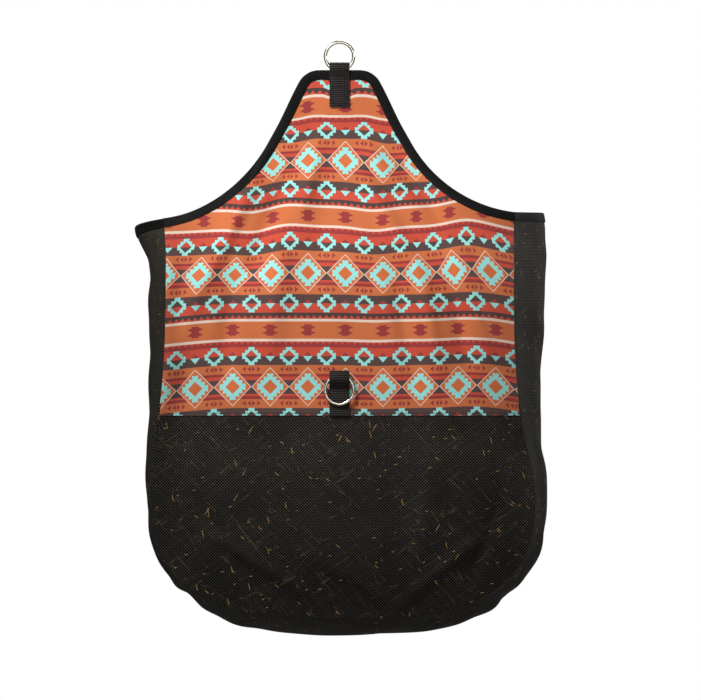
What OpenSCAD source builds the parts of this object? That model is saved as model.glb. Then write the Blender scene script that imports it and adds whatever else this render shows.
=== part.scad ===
// Hay bag that hangs from a ring: a tall printed panel in front, mesh below it, mesh gussets round
// the sides and bottom, a mesh back with a low scooped mouth, tape-bound edges and two ring tabs.
// Frame: +Z up, +X to the right of somebody facing the printed panel, -Y towards them.
// The origin is the inside of the hang ring's crown, where a hook carries the bag.

/* [Panels] */
// Half width of the front panel at the shoulders, where the neckline ends
shoulder_half = 220; // [180:1:240]
// Half width of the front panel at its widest
belly_half = 243; // [200:1:270]
// Height of the shoulders below the origin
shoulder_drop = 216; // [178:1:260]
// Height of the widest point below the origin
belly_drop = 576; // [520:1:680]
// Height of the printed cloth's lower edge below the origin
print_drop = 473; // [420:1:510]
// Height of the front panel's lowest point below the origin
front_bottom_drop = 731; // [720:1:755]
// Exponent of the rounded lower outline, 2 for an ellipse
outline_power = 2.7; // [2:0.1:4]

/* [Neck] */
// Gap from the hang ring's loop down to the neck's bound top edge
neck_gap = 0.4; // [0.3:0.1:3]
// Half width of the neck at its sharp, unrounded corners
neck_half = 40; // [34:1:48]
// Slope of the neck's straight sides below the horizontal
neck_slope = 60.6; // [58:0.2:63]
// Radius of the neck's two corners
neck_corner_r = 28; // [15:1:34]
// Slope at which the neckline meets the shoulders
shoulder_slope = 8; // [0:1:14]

/* [Depth] */
// How far the front panel stands in front of the hang ring
front_set = 66; // [40:1:80]
// How far the back panel stands behind the hang ring
back_set = 70; // [50:1:100]
// Half width of the back panel at the mouth and at the belly
back_half = 244; // [200:1:295]
// Height of the back panel's lowest point below the origin
back_bottom_drop = 752; // [660:1:905]
// How far the gusset bulges out at the top
gusset_bulge = 15; // [4:1:30]
// How far the gusset bulges out at the belly and the bottom
gusset_bulge_low = 10; // [4:1:30]
// Dip of the mouth at the middle of the back panel
mouth_dip = 40; // [10:1:90]

/* [Cloth] */
// Thickness of the printed cloth
print_t = 1.0; // [0.6:0.1:1.5]
// Thickness of the mesh
mesh_t = 1.0; // [0.6:0.1:1.5]
// Thickness of the binding tape
bind_t = 0.8; // [0.5:0.1:1.2]
// Width of the binding that shows on each side of an edge
bind_w = 11; // [8:0.5:14]
// How far the mesh runs up behind the printed cloth
hem_lap = 15; // [8:1:25]
// Width of the bound seam allowances inside the bag
seam_w = 12; // [8:1:16]
// Thickness of the bound seam allowances
seam_t = 2.2; // [1.6:0.1:2.8]

/* [Rings and tabs] */
// Inside diameter of both rings
ring_inner_d = 31.8; // [28:0.2:35]
// Diameter of the ring wire
wire_d = 4.2; // [3:0.1:5.2]
// Width of the webbing
web_w = 25.4; // [20:0.2:27.4]
// Thickness of the webbing
web_t = 1.4; // [1:0.1:2]
// Length of each tab from its fold to its sewn end
tab_len = 57; // [52:1:68]
// Extra height of the lower tab's loop, in which its ring drops
loop_slack = 2.5; // [0:0.5:5]

/* [Hidden] */

sew_gap = 0.15;            // clearance between two layers that are sewn together
loop_gap = 0.45;           // clearance between a ring's wire and the webbing loop round it
corner_seam = 41;          // angle on the rounded outline of the seam between side and bottom gusset
side_steps = 12;           // stations down each straight side
print_steps = 20;          // stations down the printed cloth below the shoulders
round_steps = 12;          // stations round each lower quarter
depth_steps = 8;           // strips across a gusset's depth
lean_gap = 4;              // the front panel starts to lean forward this far below the hang tab
lean_length = 255;         // height over which it leans forward
stitch_pitch = 3.2;        // from one stitch to the next
stitch_size = [2.3, 0.6, 0.35]; // length, width and height of a stitch
stitch_margin = 3;         // from the webbing's edge to its stitches

// Rings: the wire crosses the webbing as an arc, and the pivot is in the middle of that arc's height.
ring_r = ring_inner_d / 2 + wire_d / 2;
arc_low = ring_inner_d / 2 + wire_d;
arc_high = sqrt(pow(ring_inner_d / 2, 2) - pow(web_w / 2, 2));
pivot_drop = (arc_low + arc_high) / 2;
loop_r = (arc_low - arc_high) / 2 + loop_gap;
ring_z = -ring_inner_d / 2;
pivot_z = ring_z - pivot_drop;
tab_top = pivot_z + loop_r + web_t;
tab_end = tab_top - tab_len;
neck_z = pivot_z - loop_r - neck_gap - bind_t - sew_gap;

shoulder_z = -shoulder_drop;
belly_z = -belly_drop;
print_z = -print_drop;
lean_top = tab_end - lean_gap;

bind_h = bind_t + sew_gap;                     // height of the binding over the cloth that it holds
print_back = print_t / 2 + sew_gap;            // from the printed cloth's middle to the mesh behind it
gusset_front = print_back + mesh_t + sew_gap;  // from the printed cloth's middle to the gusset's edge
gusset_back_y = back_set - mesh_t / 2 - sew_gap;
mesh_y = -front_set + print_back + mesh_t / 2;

lower_tab_face = -front_set - print_t / 2 - sew_gap;
lower_pivot_y = lower_tab_face - loop_r - web_t;
lower_tab_top = print_z + tab_len;
lower_pivot_z = lower_tab_top - web_t - loop_r - loop_slack;
lower_ring_z = lower_pivot_z - pivot_drop;

function clamp01(t) = max(0, min(1, t));
function ease(t) = (1 - cos(180 * clamp01(t))) / 2;
function mix(a, b, t) = a + (b - a) * t;
function unit(v) = v / norm(v);

// Depth of the front panel's middle surface at height z: upright at the tab, then leaning forward.
function front_y(z) = -front_set * ease((lean_top - z) / lean_length);

// Neckline, right half, from the top's middle to the shoulder: corner arc, straight side, hollow arc.
run = shoulder_half - neck_half;
fall = neck_z - shoulder_z;
turn = (cos(shoulder_slope) - cos(neck_slope)) / (sin(neck_slope) - sin(shoulder_slope));
side_len = (fall - turn * run) / (sin(neck_slope) - turn * cos(neck_slope));
hollow_r = (run - side_len * cos(neck_slope)) / (sin(neck_slope) - sin(shoulder_slope));
corner_cut = neck_corner_r * tan(neck_slope / 2);

function corner_point(a) =
    [neck_half - corner_cut + neck_corner_r * sin(a), neck_z - neck_corner_r * (1 - cos(a))];
function hollow_point(a) =
    [neck_half + side_len * cos(neck_slope) + hollow_r * (sin(neck_slope) - sin(a)),
     neck_z - side_len * sin(neck_slope) - hollow_r * (cos(a) - cos(neck_slope))];
neckline = concat(
    [for (i = [0:6]) corner_point(neck_slope * i / 6)],
    [for (i = [1:9]) mix(corner_point(neck_slope), hollow_point(neck_slope), i / 10)],
    [for (i = [0:14]) hollow_point(mix(neck_slope, shoulder_slope, i / 14))]);

// Side and lower outline of a panel, right half. s runs from 0 at the shoulder through 1 at the
// belly to 2 at the lowest point.
function outline(top_half, wide_half, bottom_drop, s) =
    s <= 1
        ? [mix(top_half, wide_half, ease(pow(s, 2.4))), mix(shoulder_z, belly_z, s)]
        : [wide_half * pow(max(0, cos(90 * (s - 1))), 2 / outline_power),
           belly_z - (bottom_drop - belly_drop) * pow(sin(90 * (s - 1)), 2 / outline_power)];
function front_edge(s) = outline(shoulder_half, belly_half, front_bottom_drop, s);
function back_edge(s) = outline(back_half, back_half, back_bottom_drop, s);
function at_drop(drop) = (drop - shoulder_drop) / (belly_drop - shoulder_drop);

// Outward direction of the gusset, square to the middle of the two outlines.
function along(s) = mix(front_edge(min(2, s + 0.02)), back_edge(min(2, s + 0.02)), 0.5)
                  - mix(front_edge(max(0, s - 0.02)), back_edge(max(0, s - 0.02)), 0.5);
function outward(s) = s >= 2 ? [0, -1] : s <= 0 ? [1, 0] : unit([-along(s)[1], along(s)[0]]);

// Gusset's middle surface as [x, y, z]: t runs from 0 at the front seam to 1 at the back seam.
function gusset_xz(s, t) = mix(front_edge(s), back_edge(s), t)
    + outward(s) * mix(gusset_bulge, gusset_bulge_low, clamp01(s)) * sin(180 * t);
function gusset_y(s, t) = mix(front_y(front_edge(s)[1]) + gusset_front, gusset_back_y, t);
function at(p, y) = [p[0], y, p[1]];
function mirrored(points) = [for (p = points) [-p[0], p[1], p[2]]];

side_list = [for (i = [0:side_steps]) i / side_steps];
round_list = [for (i = [1:round_steps]) 1 + i / round_steps];
seam_s = 1 + corner_seam / 90;
rim_s = bind_w / (belly_drop - shoulder_drop); // lower edge of the gusset's top tape
side_gusset_list = concat([0, rim_s], [for (s = side_list) if (s > rim_s + 0.02) s],
                          [for (s = round_list) if (s < seam_s - 0.02) s], [seam_s]);
bottom_half_list = concat([seam_s], [for (s = round_list) if (s > seam_s + 0.02) s]);

// Closed solid through a list of rings of points. Each cap is a list of four-sided patches. The
// second half of a ring faces the first half, so its patches are split the other way to match.
module loft(rings, caps) {
    n = len(rings[0]);
    last = (len(rings) - 1) * n;
    walls = [for (i = [0:len(rings) - 2], j = [0:n - 1])
        let (a = i * n + j, b = i * n + (j + 1) % n)
        each j < n / 2 ? [[a, b, b + n], [a, b + n, a + n]] : [[a, b, a + n], [b, b + n, a + n]]];
    start = [for (c = caps) each [[c[2], c[1], c[0]], [c[3], c[2], c[0]]]];
    end = [for (c = caps) each [[c[0], c[1], c[2]] + last * [1, 1, 1],
                                [c[0], c[2], c[3]] + last * [1, 1, 1]]];
    polyhedron([for (r = rings) each r], concat(walls, start, end));
}
four_sided = [[0, 1, 2, 3]];
channel = [[0, 1, 6, 7], [1, 2, 5, 6], [2, 3, 4, 5]];
gusset_caps = [for (i = [0:depth_steps - 1])
    [i, i + 1, 2 * depth_steps - i, 2 * depth_steps + 1 - i]];

// Folded tape's section round an edge: u outwards past the edge, v across the cloth.
function tape(cloth_t) = let (h = cloth_t / 2 + bind_h, k = cloth_t / 2 + sew_gap)
    [[-bind_w, -h], [bind_h, -h], [bind_h, h], [-bind_w, h],
     [-bind_w, k], [sew_gap, k], [sew_gap, -k], [-bind_w, -k]];

module steel() { color("silver") children(); }
module webbing() { color([0.1, 0.1, 0.1]) children(); }
module tape_black() { color([0.07, 0.07, 0.07]) children(); }
module mesh_black() { color([0.16, 0.15, 0.15]) children(); }

module ring() {
    rotate([90, 0, 0])
        rotate_extrude($fn = 96)
            translate([ring_r, 0]) circle(d = wire_d, $fn = 48);
}

module hang_ring() {
    steel() translate([0, 0, ring_z]) ring();
}

module lower_ring() {
    steel() translate([0, lower_pivot_y, lower_ring_z]) ring();
}

module front_print_panel() {
    below = [for (i = [1:print_steps]) at_drop(print_drop) * i / print_steps];
    rows = concat(neckline, [for (s = below) front_edge(s)]);
    color([0.78, 0.38, 0.2])
        loft([for (p = rows) let (y = front_y(p[1]))
              [[-p[0], y - print_t / 2, p[1]], [p[0], y - print_t / 2, p[1]],
               [p[0], y + print_t / 2, p[1]], [-p[0], y + print_t / 2, p[1]]]], four_sided);
}

// Flat panel in the XZ plane, its middle surface at depth y, through the points of its right half.
module flat_panel(half, y, thick) {
    translate([0, y + thick / 2, 0])
        rotate([90, 0, 0])
            linear_extrude(thick)
                polygon(concat(half, [for (i = [len(half) - 1:-1:0]) if (half[i][0] > 0)
                                      [-half[i][0], half[i][1]]]));
}

module front_mesh_panel() {
    top = at_drop(print_drop - hem_lap);
    mesh_black()
        flat_panel(concat([for (i = [0:6]) front_edge(mix(top, 1, i / 6))],
                          [for (s = round_list) front_edge(s)]), mesh_y, mesh_t);
}

// Back panel's top edge: level with the shoulders at the corners and dipping in the middle.
mouth_edge_half = back_half - mesh_t / 2 - 2 * sew_gap;
function mouth_z(x) = shoulder_z - mouth_dip * pow(max(0, 1 - pow(x / back_half, 2)), 1.5);
mouth_line = [for (i = [0:16]) let (x = mouth_edge_half * i / 16) [x, mouth_z(x)]];

module back_mesh_panel() {
    mesh_black()
        flat_panel(concat(mouth_line, [for (s = concat(side_list, round_list)) back_edge(s)]),
                   back_set, mesh_t);
}

function gusset_ring(s) = concat(
    [for (t = [0:depth_steps]) at(gusset_xz(s, t / depth_steps) + outward(s) * mesh_t / 2,
                                  gusset_y(s, t / depth_steps))],
    [for (t = [depth_steps:-1:0]) at(gusset_xz(s, t / depth_steps) - outward(s) * mesh_t / 2,
                                     gusset_y(s, t / depth_steps))]);

module side_gusset() {
    mesh_black() loft([for (s = side_gusset_list) gusset_ring(s)], gusset_caps);
}

module gusset_right() { side_gusset(); }

module gusset_left() { mirror([1, 0, 0]) side_gusset(); }

module gusset_bottom() {
    right = [for (s = bottom_half_list) gusset_ring(s)];
    left = [for (i = [len(right) - 2:-1:0]) mirrored(right[i])];
    mesh_black() loft(concat(right, left), gusset_caps);
}

// Tape over the neckline from one shoulder over the neck to the other.
module neck_binding() {
    last = len(neckline) - 1;
    right = [for (i = [0:last])
        let (before = neckline[max(0, i - 1)], after = neckline[min(last, i + 1)],
             d = i == 0 ? [1, 0] : unit(after - before), n = [-d[1], d[0]])
        [for (uv = tape(print_t)) let (p = neckline[i] + n * uv[0]) at(p, front_y(p[1]) + uv[1])]];
    left = [for (i = [last:-1:0]) mirrored(right[i])];
    tape_black() loft(concat(left, right), channel);
}

// Point on the side gusset's own flat strips.
function on_gusset(s, t) =
    let (k = min(depth_steps - 1, floor(t * depth_steps)), a = k / depth_steps, b = (k + 1) / depth_steps)
    mix(at(gusset_xz(s, a), gusset_y(s, a)), at(gusset_xz(s, b), gusset_y(s, b)), t * depth_steps - k);

// Tape over a side gusset's top edge.
module side_mouth_binding() {
    front = gusset_y(0, 0);
    depth = gusset_back_y - front;
    t_end = (back_set - mesh_t / 2 - bind_h - sew_gap - front) / depth;
    stations = concat([bind_h / depth], [for (i = [1:depth_steps - 1]) i / depth_steps], [t_end]);
    tape_black()
        loft([for (t = stations)
              [for (uv = tape(mesh_t + 2 * sew_gap)) on_gusset(uv[0] < 0 ? rim_s : 0, t) + [uv[1], 0, max(0, uv[0])]]],
             channel);
}

module mouth_binding_right() { side_mouth_binding(); }

module mouth_binding_left() { mirror([1, 0, 0]) side_mouth_binding(); }

module mouth_binding_back() {
    last = len(mouth_line) - 1;
    right = [for (i = [0:last])
        let (before = mouth_line[max(0, i - 1)], after = mouth_line[min(last, i + 1)],
             d = i == 0 || i == last ? [1, 0] : unit(after - before), n = [-d[1], d[0]])
        [for (uv = tape(mesh_t)) at(mouth_line[i] + n * uv[0], back_set + uv[1])]];
    left = [for (i = [last:-1:1]) mirrored(right[i])];
    tape_black() loft(concat(left, right), channel);
}

// Bound seam allowance: a strip that stands inwards from a seam at 45 degrees. side is 1 where it
// leans towards the back and -1 where it leans towards the front.
seam_start = 2.1;
function seam_strip(edge, y, n, side) =
    [for (q = [[seam_start, -1], [seam_start + seam_w, -1], [seam_start + seam_w, 1], [seam_start, 1]])
        let (across = q[1] * seam_t / 2)
        at(edge + n * (-q[0] + across) * sin(45), y + side * (q[0] + across) * cos(45))];
seam_top = (bind_w + 1.5) / (belly_drop - shoulder_drop);
seam_list = concat([seam_top], [for (s = side_list) if (s > seam_top + 0.05) s], round_list);

module whole_seam(right) {
    left = [for (i = [len(right) - 2:-1:0]) mirrored(right[i])];
    tape_black() loft(concat(right, left), four_sided);
}

module front_seam_binding() {
    whole_seam([for (s = seam_list) let (p = front_edge(s))
                [for (q = seam_strip(p, front_y(p[1]) + gusset_front, outward(s), 1)) q]]);
}

module back_seam_binding() {
    right = [for (s = seam_list) seam_strip(back_edge(s), gusset_back_y, outward(s), -1)];
    whole_seam([for (r = right) [r[3], r[2], r[1], r[0]]]);
}

// Bound seam allowance between a side gusset and the bottom gusset.
module corner_binding() {
    n = outward(seam_s);
    d = [n[1], -n[0]];
    clear = (seam_start + seam_w) * cos(45) + seam_t;
    span = gusset_y(seam_s, 1) - gusset_y(seam_s, 0);
    steps = 6;
    tape_black()
        loft([for (i = [0:steps]) let (t = mix(clear / span, 1 - clear / span, i / steps),
                                       p = gusset_xz(seam_s, t), y = gusset_y(seam_s, t))
              [for (q = [[0, -1], [seam_w, -1], [seam_w, 1], [0, 1]])
                  at(p - n * (q[0] + mesh_t / 2 + 2 * sew_gap) + d * q[1] * seam_t / 2, y)]],
             four_sided);
}

module corner_binding_right() { corner_binding(); }

module corner_binding_left() { mirror([1, 0, 0]) corner_binding(); }

// A section drawn with its first axis along Y and its second along Z, as wide as the webbing.
module across_webbing() {
    rotate([90, 0, 90]) linear_extrude(web_w, center = true) children();
}

// Where a straight run of webbing that ends at p leaves a circle of radius r round c, on its side.
function leaves(c, r, p, side) =
    let (d = norm(p - c), a = atan2(p[1] - c[1], p[0] - c[0]) + side * acos(r / d))
    c + r * [cos(a), sin(a)];

// Webbing folded over the hang ring, one leg sewn down on each face of the neck.
module hang_tab() {
    leg = print_t / 2 + bind_h + sew_gap;
    legs_meet = neck_z - 4;
    eye = [0, pivot_z];
    webbing() across_webbing() difference() {
        loop_outline(eye, loop_r + web_t, leg + web_t, legs_meet, tab_end);
        loop_outline(eye, loop_r, leg, legs_meet, tab_end - 1);
    }
}

// Outline of folded webbing: an arc round the eye, and legs that run in to half_gap and then down.
module loop_outline(eye, r, half_gap, legs_meet, end) {
    steps = 36;
    right = leaves(eye, r, [half_gap, legs_meet], 1);
    low = atan2(right[1] - eye[1], right[0] - eye[0]);
    fold = [for (i = [0:steps])
        let (a = 180 - low - (180 - 2 * low) * i / steps) eye + r * [cos(a), sin(a)]];
    polygon(concat(fold, [[half_gap, legs_meet], [half_gap, end],
                          [-half_gap, end], [-half_gap, legs_meet]]));
}

// Webbing folded over the lower ring, both legs sewn down on the front of the printed cloth.
module lower_tab() {
    eye = [lower_pivot_y, lower_pivot_z];
    fold = eye + [0, loop_slack];
    layers_meet = lower_pivot_z - loop_r * 2.2;
    back = lower_tab_face - web_t;
    outer_front = leaves(eye, loop_r + web_t, [back - web_t, layers_meet], -1);
    inner_front = leaves(eye, loop_r, [back, layers_meet], -1);
    webbing() across_webbing() difference() {
        union() {
            for (c = [eye, fold]) translate(c) circle(r = loop_r + web_t, $fn = 64);
            translate([eye[0] - loop_r - web_t, eye[1]]) square([2 * (loop_r + web_t), loop_slack]);
            polygon([outer_front, [back - web_t, layers_meet], [back - web_t, print_z],
                     [lower_tab_face, print_z], [lower_tab_face, eye[1]]]);
        }
        for (c = [eye, fold]) translate(c) circle(r = loop_r, $fn = 64);
        translate([eye[0] - loop_r, eye[1]]) square([2 * loop_r, loop_slack]);
        polygon([inner_front, [back, layers_meet], [back, eye[1]]]);
    }
}

// Stitches from p to q on an XZ plane, standing out towards -Y from y = 0.
module stitch_row(p, q) {
    count = max(1, floor(norm(q - p) / stitch_pitch));
    angle = atan2(q[1] - p[1], q[0] - p[0]);
    for (i = [0:count - 1])
        let (c = mix(p, q, (i + 0.5) / count))
            translate([c[0], -stitch_size[2] / 2, c[1]])
                rotate([0, -angle, 0])
                    cube([stitch_size[0], stitch_size[2], stitch_size[1]], center = true);
}

// Box of stitches across the webbing from height low to height high.
module stitch_box(low, high) {
    w = web_w / 2 - stitch_margin;
    inset = stitch_pitch / 2;
    stitch_row([-w + inset, low], [w - inset, low]);
    stitch_row([-w + inset, high], [w - inset, high]);
    stitch_row([-w, low + inset], [-w, high - inset]);
    stitch_row([w, low + inset], [w, high - inset]);
}

module hang_tab_stitching() {
    face = print_t / 2 + bind_h + sew_gap + web_t;
    box_high = neck_z - bind_w - stitch_margin * 2;
    tack_z = neck_z - bind_w / 2;
    w = web_w / 2 - stitch_margin;
    webbing()
        for (turned = [0, 180])
            rotate([0, 0, turned])
                translate([0, -face, 0]) {
                    stitch_box(tab_end + stitch_margin, box_high);
                    for (row = [-1, 1])
                        stitch_row([-w, tack_z + row * 1.2], [w, tack_z + row * 1.2]);
                }
}

module lower_tab_stitching() {
    webbing()
        translate([0, lower_tab_face - 2 * web_t, 0])
            stitch_box(print_z + stitch_margin, print_z + stitch_margin + 14);
}

hang_ring();
lower_ring();
front_print_panel();
front_mesh_panel();
back_mesh_panel();
gusset_left();
gusset_right();
gusset_bottom();
neck_binding();
mouth_binding_left();
mouth_binding_right();
mouth_binding_back();
front_seam_binding();
back_seam_binding();
corner_binding_left();
corner_binding_right();
hang_tab();
lower_tab();
hang_tab_stitching();
lower_tab_stitching();
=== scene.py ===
# %% [markdown]
# # A hanging hay bag
#
# The real bag is sewn from flat cloth: a tall printed front panel with a narrow neck, a black mesh
# panel below it, a mesh back, and mesh gussets that give it depth. Its open edges are bound with
# tape, and two webbing tabs each hold a round steel ring. This lesson builds the looks of each piece
# around the CAD frame, which fixes every size and every joint.

# %% Load the frame
import math

import bpy
import numpy as np
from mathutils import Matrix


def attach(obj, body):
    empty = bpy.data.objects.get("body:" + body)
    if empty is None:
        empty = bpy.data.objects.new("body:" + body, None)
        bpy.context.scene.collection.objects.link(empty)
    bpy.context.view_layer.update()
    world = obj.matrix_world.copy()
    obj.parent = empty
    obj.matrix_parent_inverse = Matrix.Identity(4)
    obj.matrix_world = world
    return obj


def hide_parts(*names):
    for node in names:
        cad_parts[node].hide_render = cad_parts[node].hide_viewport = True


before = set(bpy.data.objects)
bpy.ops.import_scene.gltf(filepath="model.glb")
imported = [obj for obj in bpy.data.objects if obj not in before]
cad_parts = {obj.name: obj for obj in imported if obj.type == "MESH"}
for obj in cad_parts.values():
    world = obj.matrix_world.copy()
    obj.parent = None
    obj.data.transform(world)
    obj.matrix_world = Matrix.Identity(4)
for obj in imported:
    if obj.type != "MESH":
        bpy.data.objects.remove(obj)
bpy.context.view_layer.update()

# %% [markdown]
# ## Sizes in millimetres
#
# A sewn bag is thought of in millimetres, so the shapes are worked out in millimetres and become
# metres only when a mesh is made. Height 0 is where the hook bears inside the top ring, X runs to the
# right of somebody who faces the print, and Y runs away from them through the bag.

# %% Sizes
SHOULDER_Z, BELLY_Z, PRINT_Z = -216.0, -576.0, -473.0
FRONT_EDGE = (220.0, 243.0, 731.0)    # half width at the shoulders, half width at the belly, lowest drop
BACK_EDGE = (244.0, 244.0, 752.0)
FRONT_Y, BACK_Y = -66.0, 70.0
CLOTH_T, TAPE_T, SEW_GAP = 1.0, 0.8, 0.15
TAPE_W, SEAM_W, SEAM_T = 11.0, 12.0, 2.2
TAPE_PUFF = 0.35                      # how far a leg of the tape bulges between fold and stitches
WEB_W, WEB_T, TAB_LEN = 25.4, 1.4, 57.0
WIRE_R, RING_R, RING_Z = 2.1, 18.0, -15.9
PIVOT_DROP = (20.1 + math.sqrt(15.9 ** 2 - 12.7 ** 2)) / 2
LOOP_R = (20.1 - math.sqrt(15.9 ** 2 - 12.7 ** 2)) / 2 + 0.45
PIVOT_Z = RING_Z - PIVOT_DROP
TAB_TOP = PIVOT_Z + LOOP_R + WEB_T
TAB_END = TAB_TOP - TAB_LEN
NECK_Z = PIVOT_Z - LOOP_R - 0.4 - TAPE_T - SEW_GAP
CORNER_S = 1 + 41 / 90                # where the side gusset is sewn to the bottom gusset
print("tab from", round(TAB_TOP, 1), "to", round(TAB_END, 1), "mm, neck at", round(NECK_Z, 1), "mm")

# %% [markdown]
# ## From a grid of points to a mesh
#
# Each piece is a surface worked out as a whole array of points. The helpers below turn such a grid
# into a mesh. Where the surface closes on itself, as round a ring's wire, the pattern grid has one
# more column than the points, so that the weave runs on without being squeezed into the last strip.


# %% Meshes from grids
def grid_faces(rows, columns, wrap_rows=False, wrap_columns=False):
    """Corners of a grid's four-sided faces, as numbers of points and as numbers of pattern marks."""
    face_rows, face_columns = rows - (not wrap_rows), columns - (not wrap_columns)
    i, j = np.meshgrid(np.arange(face_rows), np.arange(face_columns), indexing="ij")
    i, j = i.ravel(), j.ravel()
    ring = [(i, j), (i, j + 1), (i + 1, j + 1), (i + 1, j)]
    width = columns + wrap_columns
    faces = np.stack([(a % rows) * columns + b % columns for a, b in ring], 1)
    marks = np.stack([a * width + b for a, b in ring], 1)
    return faces, marks


def signed_volume(points, faces):
    """Sum over the faces of corner . (corner x corner) / 6, which is positive if they face outwards."""
    total = 0.0
    for face in faces:
        corners = points[np.asarray(face)]
        total += np.cross(corners[1:-1], corners[2:]).dot(corners[0]).sum() / 6
    return total


def grid_volume(points, faces):
    """The same sum for an array of four-sided faces at once."""
    a, b, c, d = (points[faces[:, k]] for k in range(4))
    return (np.einsum("ij,ij->", a, np.cross(b, c)) + np.einsum("ij,ij->", a, np.cross(c, d))) / 6


def make_piece(name, points, faces, uvs, caps=()):
    """A mesh object from points in mm, four-sided faces with their pattern marks, and end caps."""
    middle = points.mean(axis=0)
    inside_out = grid_volume(points - middle, faces) + signed_volume(points - middle, caps) < 0
    corners = [list(face) for face in caps]
    if inside_out:
        faces, uvs, corners = faces[:, ::-1], uvs[:, ::-1], [face[::-1] for face in corners]
    mesh = bpy.data.meshes.new(name)
    mesh.from_pydata((points * 0.001).tolist(), [], faces.tolist() + corners)
    cap_uvs = [points[index, [0, 2]] for face in corners for index in face]
    marks = np.concatenate([uvs.reshape(-1, 2)] + ([np.array(cap_uvs)] if cap_uvs else []))
    mesh.uv_layers.new(name="cloth").data.foreach_set("uv", (marks * 0.001).ravel())
    mesh.shade_smooth()
    mesh.set_sharp_from_angle(angle=math.radians(50))
    thing = bpy.data.objects.new(name, mesh)
    bpy.context.scene.collection.objects.link(thing)
    print(f"{name}: {len(mesh.vertices)} points, {len(mesh.polygons)} faces")
    return thing


# %% [markdown]
# ## The bag's outline
#
# Seen from the front each panel has straight, slightly spreading sides, and a bottom that is nearly a
# rounded box. A superellipse with the power 2.7 draws that: at 2 it would be an ellipse, and at a
# large power a rectangle. The printed panel leans forward from its neck to the bag's front.


# %% Outline and lean
def ease(t):
    """Half a cosine wave from 0 to 1, flat at both ends."""
    return (1 - np.cos(np.pi * np.clip(t, 0, 1))) / 2


def mix(a, b, t):
    """The value t of the way from a to b."""
    return a + (b - a) * t


def bell(x, middle, half):
    """A smooth hump of height 1: e to the power of minus the square of the distance."""
    return np.exp(-((x - middle) / half) ** 2)


def outline(edge, s):
    """Right half of an outline: s runs from 0 at the shoulder through 1 at the belly to 2 at the bottom."""
    top_half, wide_half, drop = edge
    turn = np.radians(90 * np.clip(s - 1, 0, 1))
    side_x = mix(top_half, wide_half, ease(np.clip(s, 0, 1) ** 2.4))
    round_x = wide_half * np.abs(np.cos(turn)) ** (2 / 2.7)
    side_z = mix(SHOULDER_Z, BELLY_Z, s)
    round_z = BELLY_Z - (drop + BELLY_Z) * np.sin(turn) ** (2 / 2.7)
    return np.stack([np.where(s <= 1, side_x, round_x), np.where(s <= 1, side_z, round_z)], -1)


def around(edge, r):
    """The whole outline: r runs from -2 at the left shoulder through 0 at the bottom to 2 at the right."""
    half = outline(edge, 2 - np.abs(r))
    return half * np.stack([np.sign(r), np.ones_like(r)], -1)


def front_y(z):
    """Depth of the printed panel's middle: 0 at the tab, easing to the bag's front over 255 mm."""
    return FRONT_Y * ease((TAB_END - 4 - z) / 255)


def evenly(low, high, count, edge=FRONT_EDGE):
    """Values of r from low to high that are the same length apart along an outline."""
    fine = np.linspace(low, high, 4001)
    steps = np.linalg.norm(np.diff(around(edge, fine), axis=0), axis=1)
    length = np.concatenate([[0], np.cumsum(steps)])
    return np.interp(np.linspace(0, length[-1], count), length, fine)


print("belly width", 2 * outline(FRONT_EDGE, np.array(1.0))[0], "mm")

# %% [markdown]
# ## The neckline
#
# The neck is a rounded corner, then a straight side at about 60 degrees, then a long hollow curve
# out to the shoulder. The straight side's length and the hollow's radius are the two numbers that
# make the three parts meet in line, so they are solved and not chosen.


# %% Neckline
def neckline(count):
    """Right half of the neckline as even points (x, z) from the neck's corner to the shoulder."""
    neck_half, radius = 40, 28            # to where the corner's two sides would meet, and its rounding
    steep, shallow = math.radians(60.6), math.radians(8)
    run, fall = FRONT_EDGE[0] - neck_half, NECK_Z - SHOULDER_Z
    turn = (math.cos(shallow) - math.cos(steep)) / (math.sin(steep) - math.sin(shallow))
    side = (fall - turn * run) / (math.sin(steep) - turn * math.cos(steep))
    hollow = (run - side * math.cos(steep)) / (math.sin(steep) - math.sin(shallow))
    a = np.linspace(0, steep, 40)
    corner = np.stack([neck_half - radius * math.tan(steep / 2) + radius * np.sin(a),
                       NECK_Z - radius * (1 - np.cos(a))], -1)
    a = np.linspace(steep, shallow, 200)
    curve = np.stack([neck_half + side * math.cos(steep) + hollow * (math.sin(steep) - np.sin(a)),
                      NECK_Z - side * math.sin(steep) - hollow * (np.cos(a) - math.cos(steep))], -1)
    return resample(np.concatenate([corner, curve]), count)


def resample(path, count):
    """The same path as count points that are evenly spaced along its length."""
    length = np.concatenate([[0], np.cumsum(np.linalg.norm(np.diff(path, axis=0), axis=1))])
    even = np.linspace(0, length[-1], count)
    return np.stack([np.interp(even, length, path[:, k]) for k in range(path.shape[1])], -1)


print("neckline runs from", neckline(3)[0].round(1), "to", neckline(3)[-1].round(1))

# %% [markdown]
# ## How the cloth has settled
#
# A used bag doesn't hang like a drawing of itself: one shoulder is lower, the back has shifted
# sideways, and soft folds run down from the neck. One function moves every piece of the bag, as a
# field in space, so the layers that are sewn together stay together. The folds die out at the tabs,
# where the stitched webbing keeps the cloth flat, and towards the seams.

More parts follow.
